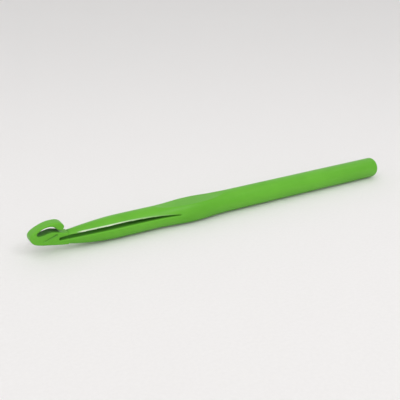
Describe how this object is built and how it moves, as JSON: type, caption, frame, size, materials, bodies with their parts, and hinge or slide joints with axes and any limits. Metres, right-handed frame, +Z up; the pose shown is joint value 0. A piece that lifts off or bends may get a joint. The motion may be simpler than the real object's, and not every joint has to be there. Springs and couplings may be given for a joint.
{
  "type": "crochet hook",
  "caption": "Plastic crochet hook with a curled head, a fluted tapered neck, a flattened thumb rest and a plain round handle.",
  "frame": {"origin": "middle of the footprint, on the surface that the hook lies on", "axes": "+X along the rod from the nose to the end of the handle, +Z up, out of the mouth of the hook and out of the upper flat of the thumb rest"},
  "size_m": [0.166, 0.011, 0.0121],
  "materials": {
    "hook_plastic": "satin"
  },
  "bodies": {
    "root": {"head": "hook_plastic", "neck": "hook_plastic", "shaft": "hook_plastic", "thumb_rest": "hook_plastic", "handle": "hook_plastic"}
  },
  "joints": []
}
